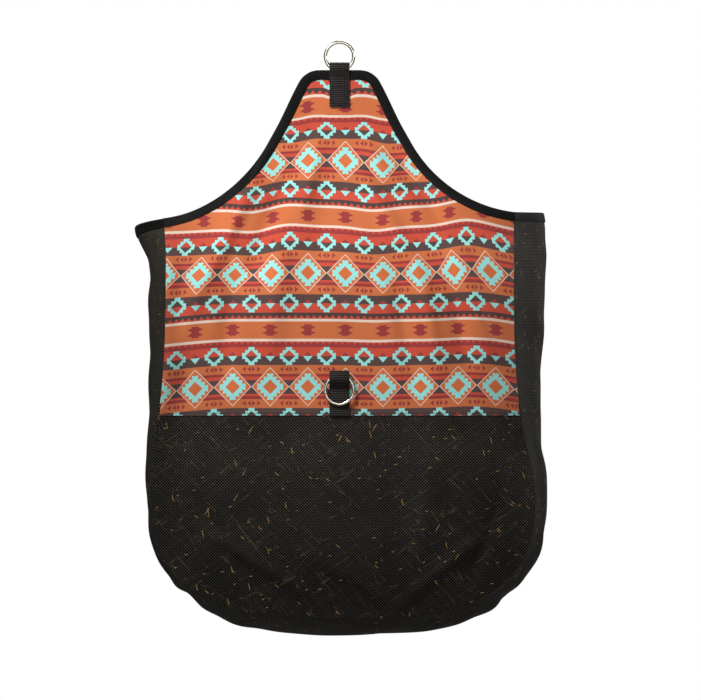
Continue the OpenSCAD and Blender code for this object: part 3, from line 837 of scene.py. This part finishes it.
# %% Colours and nodes
def linear(swatch):
    """Linear RGBA from an sRGB hex colour: ((c + 0.055) / 1.055) ^ 2.4 for all but the darkest."""
    values = [int(swatch[k:k + 2], 16) / 255 for k in (1, 3, 5)]
    return [v / 12.92 if v <= 0.04045 else ((v + 0.055) / 1.055) ** 2.4 for v in values] + [1.0]


def node(tree, kind, inputs=None, **settings):
    """Adds one node with its settings. An input is a number, a colour or another node's output."""
    made = tree.nodes.new(kind)
    for name, value in settings.items():
        setattr(made, name, value)
    for key, value in (inputs or {}).items():
        if isinstance(value, bpy.types.NodeSocket):
            tree.links.new(value, made.inputs[key])
        else:
            made.inputs[key].default_value = value
    return made


def sums(tree, known, table):
    """Works down rows of (result, operation, inputs...), where an input is a number or a result."""
    for result, operation, *inputs in table:
        values = {k: known.get(v, v) if isinstance(v, str) else v for k, v in enumerate(inputs)}
        known[result] = node(tree, "ShaderNodeMath", values, operation=operation).outputs[0]
    return known


def finish_named(name, **sockets):
    """A new material and its shader, with the values that are the same all over the surface."""
    material = bpy.data.materials.new(name)
    material.use_nodes = True
    tree = material.node_tree
    shader = tree.nodes["Principled BSDF"]
    for key, value in sockets.items():
        shader.inputs[key.replace("_", " ")].default_value = value
    return material, tree, shader


def cloth_coordinates(tree):
    """The cloth's own coordinates in millimetres, as two outputs: across and down."""
    uv = node(tree, "ShaderNodeUVMap", uv_map="cloth")
    split = node(tree, "ShaderNodeSeparateXYZ", {0: uv.outputs[0]})
    return sums(tree, {"x": split.outputs[0], "y": split.outputs[1]},
                [("u", "MULTIPLY", "x", 1000.0), ("v", "MULTIPLY", "y", 1000.0)])


def blend_colour(tree, factor, first, second, **settings):
    """The output of one colour mix; each colour is a linear list or an output."""
    mixed = node(tree, "ShaderNodeMix", {0: factor, 6: first, 7: second}, data_type="RGBA", **settings)
    return mixed.outputs[2]


# %% [markdown]
# ## The print
#
# The cloth is plain-woven polyester, dyed by heat transfer, so the colours are matt and even, and the
# weave is only just seen. The design is a set of stepped and zigzag borders in the manner of woven
# blankets, and repeats every 47.6 mm across and 144 mm down. Stripes are one colour ramp down the
# cloth. Its steps and the motifs are listed over a repeat of 142, which is stretched to the cloth's
# 144 mm. Each motif is a mask made from distances to its own column and row, folded by ping-pong so
# that one side of the motif draws the other too.

# %% Stripes of the print
ORANGE, RED, MAROON, BROWN = "#CF7040", "#CC4D37", "#9C3736", "#56413E"
DARK_BROWN, TURQUOISE, CREAM, SHADE_RED = "#4B3B39", "#9CE6E0", "#ECD3C2", "#AC3B38"
STRIPES = [(0.0, CREAM), (3.2, RED), (7.1, MAROON), (10.3, RED), (21.5, BROWN), (32.4, ORANGE),
           (43.3, MAROON), (46.8, RED), (51.3, BROWN), (68.3, RED), (71.5, MAROON), (75.1, ORANGE),
           (86.0, BROWN), (97.6, RED), (109.1, DARK_BROWN), (116.8, CREAM), (120.0, ORANGE)]
REPEAT, REPEAT_ON_CLOTH, HALF_ACROSS = 142.0, 144.0, 23.8


def stripe_ramp(tree, position):
    """A ramp with hard steps: one stripe for each entry, over one repeat of the design."""
    ramp = node(tree, "ShaderNodeValToRGB", {0: position})
    ramp.color_ramp.interpolation = "CONSTANT"
    while len(ramp.color_ramp.elements) > 1:
        ramp.color_ramp.elements.remove(ramp.color_ramp.elements[-1])
    ramp.color_ramp.elements[0].color = linear(STRIPES[0][1])
    for start, colour in STRIPES[1:]:
        ramp.color_ramp.elements.new(start / REPEAT).color = linear(colour)
    return ramp.outputs[0]


# %% Motifs of the print
FOLDED = [   # a is the distance from a diamond's column, b from a cross's column, e within one tooth
    ("below", "SUBTRACT", "v", 231.8), ("scaled", "MULTIPLY", "below", REPEAT / REPEAT_ON_CLOTH),
    ("d", "FLOORED_MODULO", "scaled", REPEAT), ("stripe", "DIVIDE", "d", REPEAT),
    ("c", "SUBTRACT", "u", 7.5), ("a", "PINGPONG", "c", HALF_ACROSS),
    ("b", "SUBTRACT", HALF_ACROSS, "a"), ("e", "PINGPONG", "c", 3.97),
]
TEETH = [
    ("t1", "SUBTRACT", "d", 3.2), ("t2", "MULTIPLY", "e", 0.98), ("t3", "GREATER_THAN", "t1", "t2"),
    ("t4", "LESS_THAN", "d", 7.2), ("t5", "GREATER_THAN", "d", 3.2), ("t6", "MULTIPLY", "t3", "t4"),
    ("upper_teeth", "MULTIPLY", "t6", "t5"),
    ("t7", "SUBTRACT", "d", 112.3), ("t8", "MULTIPLY", "e", 1.08), ("t9", "GREATER_THAN", "t7", "t8"),
    ("t10", "LESS_THAN", "d", 116.8), ("lower_teeth", "MULTIPLY", "t9", "t10"),
]


def crosses(tag, row_d):
    """A stepped cross on one stripe, with a triangle under it and one over it in the next column."""
    k = lambda name: f"{tag}{name}"
    return [
        (k("sy"), "SUBTRACT", "d", row_d), (k("y"), "ABSOLUTE", k("sy")),
        (k("1"), "DIVIDE", "b", 3.9), (k("2"), "FLOOR", k("1")), (k("3"), "DIVIDE", k("y"), 3.73),
        (k("4"), "FLOOR", k("3")), (k("5"), "ADD", k("2"), k("4")), (k("6"), "LESS_THAN", k("5"), 2.5),
        (k("7"), "DIVIDE", "b", 7.9), (k("8"), "DIVIDE", k("y"), 7.4), (k("9"), "ADD", k("7"), k("8")),
        (k("10"), "GREATER_THAN", k("9"), 1.0), (k("step"), "MULTIPLY", k("6"), k("10")),
        (k("11"), "MULTIPLY_ADD", k("y"), 0.871, "a"), (k("12"), "LESS_THAN", k("11"), 6.1),
        (k("13"), "GREATER_THAN", k("sy"), 0.0), (k("below"), "MULTIPLY", k("12"), k("13")),
        (k("14"), "MULTIPLY_ADD", k("y"), 1.02, "a"), (k("15"), "LESS_THAN", k("14"), 5.1),
        (k("16"), "LESS_THAN", k("sy"), 0.0), (k("above"), "MULTIPLY", k("15"), k("16")),
    ]


# Small marks in a row above and a row below the diamonds, in the cross's column.
GLYPHS = [
    ("g1", "SUBTRACT", "d", 59.2), ("g2", "ABSOLUTE", "g1"), ("g3", "SUBTRACT", "g2", 21.35),
    ("g4", "ABSOLUTE", "g3"), ("g5", "SUBTRACT", "b", 0.7), ("g6", "FLOORED_MODULO", "g5", 6.5),
    ("g7", "MULTIPLY_ADD", "g6", 0.773, "g4"), ("g8", "LESS_THAN", "g7", 3.4),
    ("g9", "LESS_THAN", "b", 11.8), ("glyph", "MULTIPLY", "g8", "g9"),
]
# A field with a border, and inside it a ring whose edge is stepped.
DIAMOND = [
    ("w1", "SUBTRACT", "d", 59.8), ("w", "ABSOLUTE", "w1"), ("w2", "DIVIDE", "a", HALF_ACROSS),
    ("w3", "DIVIDE", "w", 24.5), ("w4", "ADD", "w2", "w3"), ("field", "LESS_THAN", "w4", 1.0),
    ("w5", "GREATER_THAN", "w4", 0.945), ("border", "MULTIPLY", "w5", "field"),
    ("w6", "ADD", "a", "w"), ("w7", "SUBTRACT", "a", "w"), ("w8", "PINGPONG", "w7", 4.2),
    ("w9", "MULTIPLY_ADD", "w8", 1.35, 15.3), ("w10", "LESS_THAN", "w6", "w9"),
    ("w11", "GREATER_THAN", "w6", 9.2), ("steps", "MULTIPLY", "w10", "w11"),
]
# Four points that meet in a square block.
STAR = [
    ("s1", "SUBTRACT", "d", 131.0), ("s2", "ABSOLUTE", "s1"), ("s3", "MULTIPLY", "s2", -1.8),
    ("s4", "ADD", "a", "s3"), ("s5", "LESS_THAN", "s4", 3.0), ("s6", "MULTIPLY_ADD", "a", 0.162, "s2"),
    ("s7", "LESS_THAN", "s6", 5.8), ("s8", "MULTIPLY", "s5", "s7"), ("s9", "LESS_THAN", "a", 4.6),
    ("s10", "LESS_THAN", "s2", 7.0), ("s11", "MULTIPLY", "s9", "s10"), ("star", "MAXIMUM", "s8", "s11"),
]
LAYERS = [("upper_teeth", MAROON), ("lower_teeth", RED), ("k_step", TURQUOISE), ("k_below", TURQUOISE),
          ("k_above", MAROON), ("m_step", TURQUOISE), ("m_below", TURQUOISE), ("m_above", SHADE_RED),
          ("glyph", MAROON), ("field", "#D8703D"), ("steps", TURQUOISE), ("border", CREAM),
          ("star", MAROON)]


# %% Printed cloth material
THREAD_DRAWN = 2.6


def heat_printed_polyester():
    """Matt dyed weave, with painted shade that darkens it towards the sides and the hem.

    Threads are about 0.4 mm apart on such cloth, and are drawn THREAD_DRAWN mm apart so that they show.
    """
    material, tree, shader = finish_named("heat_printed_polyester", Roughness=0.78, IOR=1.5,
                                          Specular_IOR_Level=0.3, Sheen_Weight=0.12, Sheen_Roughness=0.5)
    known = cloth_coordinates(tree)
    sums(tree, known, FOLDED + TEETH + crosses("k_", 21.5) + crosses("m_", 97.6) + GLYPHS + DIAMOND + STAR)
    colour = stripe_ramp(tree, known["stripe"])
    for mask, swatch in LAYERS:
        colour = blend_colour(tree, known[mask], colour, linear(swatch))
    place = node(tree, "ShaderNodeTexCoord")
    cloudy = node(tree, "ShaderNodeTexNoise", {0: place.outputs["Object"], "Scale": 22.0, "Detail": 3.0})
    tone = node(tree, "ShaderNodeMapRange", {0: cloudy.outputs[0], 1: 0.3, 2: 0.7, 3: 0.93, 4: 1.05})
    colour = blend_colour(tree, 1.0, colour, tone.outputs[0], blend_type="MULTIPLY")
    where = node(tree, "ShaderNodeSeparateXYZ", {0: place.outputs["Object"]})
    to_side = node(tree, "ShaderNodeMath", {0: where.outputs[0]}, operation="ABSOLUTE")
    # Painted shade: the colour is darkened towards the panel's sides and towards its hem.
    painted_side_shade = node(tree, "ShaderNodeMapRange", {0: to_side.outputs[0], 1: 0.15, 2: 0.24, 3: 1.0, 4: 0.72})
    painted_hem_shade = node(tree, "ShaderNodeMapRange", {0: where.outputs[2], 1: -0.48, 2: -0.3, 3: 0.86, 4: 1.0})
    for painted_shade in (painted_side_shade, painted_hem_shade):
        colour = blend_colour(tree, 1.0, colour, painted_shade.outputs[0], blend_type="MULTIPLY")
    turns = 2 * math.pi / THREAD_DRAWN
    sums(tree, known, [
        ("p1", "MULTIPLY", "u", turns), ("p2", "SINE", "p1"), ("p3", "MULTIPLY", "v", turns),
        ("p4", "SINE", "p3"), ("weave", "MULTIPLY", "p2", "p4"),
        ("thread_tone", "MULTIPLY_ADD", "weave", 0.06, 1.0)])
    colour = blend_colour(tree, 1.0, colour, known["thread_tone"], blend_type="MULTIPLY")
    inner = node(tree, "ShaderNodeAttribute", attribute_name="inner_face")
    colour = blend_colour(tree, inner.outputs["Fac"], colour, linear("#B9A79C"))
    bump = node(tree, "ShaderNodeBump", {"Height": known["weave"], "Strength": 0.25, "Distance": 0.0002})
    tree.links.new(colour, shader.inputs["Base Color"])
    tree.links.new(bump.outputs[0], shader.inputs["Normal"])
    return material


print_cloth = heat_printed_polyester()
print("print layers:", len(LAYERS), "over", len(STRIPES), "stripes")

# %% [markdown]
# ## Coated mesh
#
# The body is polyester yarn coated with black vinyl and fused where the yarns cross. That gives a
# faint gloss on the yarns, painted into the colour as a lighter grey-brown yarn, a painted highlight,
# and small pores in staggered rows, painted near-black as painted shade of the bag's dark inside. On
# such mesh a pore comes about every 2 mm. That is too fine to show, so the pattern is drawn with a
# repeat of 3.8 mm. The colour is painted lighter towards the top and darker towards the bottom, as
# painted light and shade. Hay leaves short, straw-coloured flecks caught in it, and longer stalks
# show faintly from inside.


# %% Mesh material
PORE_REPEAT = 3.8


def chaff(tree, known, tag, turn, length, rarity):
    """Thin flecks: cells stretched to a length in mm along one direction, of which few are filled."""
    flat = node(tree, "ShaderNodeCombineXYZ", {0: known["u"], 1: known["v"]})
    laid = node(tree, "ShaderNodeMapping", {0: flat.outputs[0], "Rotation": (0, 0, math.radians(turn)),
                                           "Scale": (length, 1.05, 1.0)}, vector_type="TEXTURE")
    cells = node(tree, "ShaderNodeTexVoronoi", {0: laid.outputs[0], "Scale": 1.0}, voronoi_dimensions="2D")
    split = node(tree, "ShaderNodeSeparateColor", {0: cells.outputs["Color"]})
    known[tag + "near"], known[tag + "pick"] = cells.outputs["Distance"], split.outputs[0]
    return sums(tree, known, [(tag + "1", "LESS_THAN", tag + "near", 0.36),
                              (tag + "2", "GREATER_THAN", tag + "pick", rarity),
                              (tag, "MULTIPLY", tag + "1", tag + "2")])[tag]


def stalks(tree, known, turn, seed):
    """Faint long stalks behind the mesh: thin level lines of a noise stretched 90 mm by 9 mm."""
    flat = node(tree, "ShaderNodeCombineXYZ", {0: known["u"], 1: known["v"], 2: seed})
    laid = node(tree, "ShaderNodeMapping", {0: flat.outputs[0], "Rotation": (0, 0, math.radians(turn)),
                                           "Scale": (90.0, 9.0, 1.0)}, vector_type="TEXTURE")
    field = node(tree, "ShaderNodeTexNoise", {0: laid.outputs[0], "Scale": 1.0, "Detail": 1.0})
    known["level"] = field.outputs[0]
    return sums(tree, known, [("level1", "SUBTRACT", "level", 0.56), ("level2", "ABSOLUTE", "level1"),
                              ("level3", "LESS_THAN", "level2", 0.006),
                              ("stalk", "MULTIPLY", "level3", 0.35)])["stalk"]


CHAFF = [   # name, angle in degrees, length in mm and the share of cells that stay empty
    ("flat", 8, 7.0, 0.9978), ("rise", 58, 17.0, 0.9975), ("lean", -40, 9.0, 0.997),
    ("steep", 102, 13.0, 0.9972), ("tilt", 24, 5.0, 0.998),
]


def vinyl_coated_mesh():
    """Painted highlight on the yarn where the product of two cosine waves is lowest, easing to the pores'
    painted shade where it is above -0.1.
    """
    material, tree, shader = finish_named("vinyl_coated_polyester_mesh", Roughness=0.7, IOR=1.5,
                                          Specular_IOR_Level=0.1)
    known = cloth_coordinates(tree)
    turns = 2 * math.pi / PORE_REPEAT
    sums(tree, known, [
        ("m1", "MULTIPLY", "u", turns), ("m2", "COSINE", "m1"),
        ("m3", "MULTIPLY", "v", turns), ("m4", "COSINE", "m3"), ("f", "MULTIPLY", "m2", "m4")])
    pore = node(tree, "ShaderNodeMapRange", {0: known["f"], 1: -0.95, 2: -0.1})
    # Painted highlight and shade: the black vinyl yarn is coloured grey-brown for its gloss, and the pores
    # near-black for the dark inside.
    colour = blend_colour(tree, pore.outputs[0], linear("#5C564E"), linear("#020202"))
    place = node(tree, "ShaderNodeTexCoord")
    dust = node(tree, "ShaderNodeTexNoise", {0: place.outputs["Object"], "Scale": 14.0, "Detail": 5.0})
    tone = node(tree, "ShaderNodeMapRange", {0: dust.outputs[0], 1: 0.3, 2: 0.7, 3: 0.78, 4: 1.2})
    colour = blend_colour(tree, 1.0, colour, tone.outputs[0], blend_type="MULTIPLY")
    height = node(tree, "ShaderNodeSeparateXYZ", {0: place.outputs["Object"]})
    # Painted light and shade: the colour is lighter towards the top and darker towards the bottom.
    painted_light_by_height = node(tree, "ShaderNodeMapRange", {0: height.outputs[2], 1: -0.76, 2: -0.2, 3: 0.42, 4: 1.5})
    colour = blend_colour(tree, 1.0, colour, painted_light_by_height.outputs[0], blend_type="MULTIPLY")
    for turn, seed in [(33.0, 0.0), (-48.0, 7.0)]:
        colour = blend_colour(tree, stalks(tree, known, turn, seed), colour, linear("#5B5140"))
    for tag, turn, length, rarity in CHAFF:
        flecks = chaff(tree, known, tag, turn, length, rarity)
        colour = blend_colour(tree, flecks, colour, linear("#A07C46"))
    bump = node(tree, "ShaderNodeBump", {"Height": known["f"], "Strength": 0.5, "Distance": -0.0003})
    tree.links.new(colour, shader.inputs["Base Color"])
    tree.links.new(bump.outputs[0], shader.inputs["Normal"])
    return material


mesh_cloth = vinyl_coated_mesh()

# %% [markdown]
# ## Tape, webbing, thread and steel
#
# Binding tape and webbing are woven polypropylene: black, a little shiny, with ribs across their
# length. Real ribs are about 1.5 mm apart. They are drawn 2.8 mm apart on both, so that they show,
# and are higher on the webbing. Their crests are painted lighter and their hollows darker, as painted
# highlight and shade, more strongly on the webbing. Thread is twisted polyester, with the same painted
# highlight and shade on its twist. The rings' nickel plate is bright, slightly warm, and softened by
# fine scratches.


# %% Woven black finishes
def ribbed_polypropylene(name, rib, thread, dark, light, depth):
    """Ribs across the length and finer threads along it; both distances in mm. Crests are painted in the
    light colour and hollows in the dark one, as painted highlight and shade.
    """
    material, tree, shader = finish_named(name, Roughness=0.6, IOR=1.49, Specular_IOR_Level=0.12)
    known = sums(tree, cloth_coordinates(tree), [
        ("r1", "MULTIPLY", "v", 2 * math.pi / rib), ("r2", "SINE", "r1"),
        ("r3", "MULTIPLY", "u", 2 * math.pi / thread), ("r4", "SINE", "r3"),
        ("r5", "MULTIPLY", "r4", 0.4), ("weave", "ADD", "r2", "r5")])
    painted_rib_light = node(tree, "ShaderNodeMapRange", {0: known["weave"], 1: -1.2, 2: 1.2})
    # Painted highlight and shade: rib crests take the light colour, and hollows the dark one.
    colour = blend_colour(tree, painted_rib_light.outputs[0], linear(dark), linear(light))
    place = node(tree, "ShaderNodeTexCoord")
    worn = node(tree, "ShaderNodeTexNoise", {0: place.outputs["Object"], "Scale": 60.0, "Detail": 3.0})
    tone = node(tree, "ShaderNodeMapRange", {0: worn.outputs[0], 1: 0.3, 2: 0.7, 3: 0.85, 4: 1.15})
    colour = blend_colour(tree, 1.0, colour, tone.outputs[0], blend_type="MULTIPLY")
    bump = node(tree, "ShaderNodeBump", {"Height": known["weave"], "Strength": 0.5, "Distance": depth})
    tree.links.new(colour, shader.inputs["Base Color"])
    tree.links.new(bump.outputs[0], shader.inputs["Normal"])
    return material


tape_cloth = ribbed_polypropylene("woven_binding_tape", 2.8, 3.0, "#020202", "#141312", 0.0002)
webbing_cloth = ribbed_polypropylene("ribbed_polypropylene_webbing", 2.8, 3.6, "#030303", "#3B3634", 0.0004)
thread_cloth = ribbed_polypropylene("twisted_polyester_thread", 0.9, 1.1, "#131212", "#2A2827", 0.0001)


# %% Plated steel
def nickel_plated_steel():
    """A metal keeps the default IOR; its colour is warm grey, with scratches as faint roughness."""
    material, tree, shader = finish_named("bright_nickel_plated_steel", Metallic=1.0)
    place = node(tree, "ShaderNodeTexCoord")
    streaks = node(tree, "ShaderNodeMapping", {0: place.outputs["Object"], "Scale": (900, 900, 200)})
    fine = node(tree, "ShaderNodeTexNoise", {0: streaks.outputs[0], "Scale": 1.0, "Detail": 4.0})
    rough = node(tree, "ShaderNodeMapRange", {0: fine.outputs[0], 1: 0.3, 2: 0.7, 3: 0.14, 4: 0.2})
    stain = node(tree, "ShaderNodeTexNoise", {0: place.outputs["Object"], "Scale": 60.0, "Detail": 2.0})
    colour = blend_colour(tree, stain.outputs[0], linear("#F1EBDD"), linear("#DCD4C3"))
    bump = node(tree, "ShaderNodeBump", {"Height": fine.outputs[0], "Strength": 0.003, "Distance": 0.00005})
    tree.links.new(rough.outputs[0], shader.inputs["Roughness"])
    tree.links.new(colour, shader.inputs["Base Color"])
    tree.links.new(bump.outputs[0], shader.inputs["Normal"])
    return material


ring_steel = nickel_plated_steel()

# %% [markdown]
# ## What each piece stands for
#
# Each piece rides on one of the three CAD bodies: the top ring, the bag that swings from it, and the
# lower ring. It names the CAD nodes that it stands for, and these are hidden.


# %% Bodies and nodes
def belongs(thing, material, body, slot, *nodes):
    """Gives a piece its material and the body that it rides on, and hides the CAD nodes it replaces. The
    slot is not used.
    """
    thing.data.materials.append(material)
    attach(thing, body)
    if nodes:
        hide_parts(*nodes)


belongs(hang_ring, ring_steel, "hang_ring", "ring_steel", "hang_ring")
belongs(lower_ring, ring_steel, "lower_ring", "ring_steel", "lower_ring")
belongs(print_panel, print_cloth, "bag", "printed_cloth", "front_print_panel")
for thing, name in [(front_mesh, "front_mesh_panel"), (back_mesh, "back_mesh_panel"),
                    (gusset_left, "gusset_left"), (gusset_right, "gusset_right"),
                    (gusset_bottom, "gusset_bottom")]:
    belongs(thing, mesh_cloth, "bag", "black_mesh", name)
for thing, name in zip([neck_binding, *mouth_bindings, front_seam, back_seam, *corner_seams],
                       ["neck_binding", "mouth_binding_left", "mouth_binding_right",
                        "mouth_binding_back", "front_seam_binding", "back_seam_binding",
                        "corner_binding_left", "corner_binding_right"]):
    belongs(thing, tape_cloth, "bag", "black_tape", name)
belongs(hang_tab, webbing_cloth, "bag", "black_webbing", "hang_tab")
belongs(lower_tab, webbing_cloth, "bag", "black_webbing", "lower_tab")
belongs(upper_stitches, thread_cloth, "bag", "black_thread", "hang_tab_stitching")
belongs(lower_stitches, thread_cloth, "bag", "black_thread", "lower_tab_stitching")
for thing in edge_threads + hem_threads:
    belongs(thing, thread_cloth, "bag", "black_thread")

# %% [markdown]

# %% [markdown]
# ## Studio
#
# The bag hangs in front of white paper. The key light is high on the left in front, and a weaker one
# fills from straight ahead. A lamp at the right, a little behind the bag, rakes over the folds, and
# one high at the back draws the rim. The room is dim, so the mesh stays dark, and only the camera
# sees it white. The floor is grey, so it throws little light up at the bag. It lies below the
# picture, and glows for the camera alone, so that it looks pale in the views from above.


# %% Floor, lights and camera
def soft_light(name, place, aim, size, watts):
    """A square lamp that faces the bag."""
    lamp = bpy.data.lights.new(name, "AREA")
    lamp.shape, lamp.size, lamp.energy = "SQUARE", size, watts
    thing = bpy.data.objects.new(name, lamp)
    thing.location = place
    away = np.array(place) - np.array(aim)
    tilt = math.atan2(math.hypot(away[0], away[1]), away[2])
    turn = math.atan2(away[1], away[0]) + math.pi / 2
    thing.rotation_euler = (tilt, 0, turn)
    bpy.context.scene.collection.objects.link(thing)


FLOOR_HALF, FLOOR_Z, FLOOR_T = 4000, -1250.0, 6.0
across = np.linspace(-FLOOR_HALF, FLOOR_HALF, 9)
floor_x, floor_y = np.meshgrid(across, across)
level = np.stack([floor_x, floor_y, np.full_like(floor_x, FLOOR_Z)], -1)
floor = cloth_panel("studio_floor", level, np.stack([floor_x, floor_y], -1), FLOOR_T)
floor_paint, floor_tree, floor_shader = finish_named(
    "matt_white_studio_paint", Base_Color=linear("#A3A29F"), Roughness=0.9,
    Emission_Color=linear("#EFEEEC"))
floor_seen = node(floor_tree, "ShaderNodeLightPath")
glow = node(floor_tree, "ShaderNodeMath", {0: floor_seen.outputs["Is Camera Ray"], 1: 0.7},
            operation="MULTIPLY")
floor_tree.links.new(glow.outputs[0], floor_shader.inputs["Emission Strength"])
floor.data.materials.append(floor_paint)

soft_light("key_light", (-0.8, -1.3, 0.9), (0, 0, -0.2), 0.5, 37)
soft_light("fill_light", (0.05, -3.0, 0.0), (0, 0, -0.2), 0.9, 11)
soft_light("side_light", (2.4, 0.5, 0.4), (0.2, 0, -0.35), 0.8, 36)
soft_light("rim_light", (0.4, 1.8, 1.2), (0, 0, -0.3), 1.2, 14)

world = bpy.data.worlds.new("white_room")
world.use_nodes = True
sky = world.node_tree
seen = node(sky, "ShaderNodeLightPath")
dim_room, white_paper = [0.12, 0.12, 0.122, 1.0], [1.0, 1.0, 1.0, 1.0]
paper = blend_colour(sky, seen.outputs["Is Camera Ray"], dim_room, white_paper)
sky.links.new(paper, sky.nodes["Background"].inputs["Color"])
bpy.context.scene.world = world

camera = bpy.data.objects.new("camera", bpy.data.cameras.new("camera"))
camera.location = (0.014, -12.03, -0.390)
camera.rotation_euler = (math.radians(90), 0, 0)
camera.data.sensor_width, camera.data.lens = 36, 485
bpy.context.scene.collection.objects.link(camera)
bpy.context.scene.camera = camera
bpy.context.scene.view_settings.view_transform = "Standard"
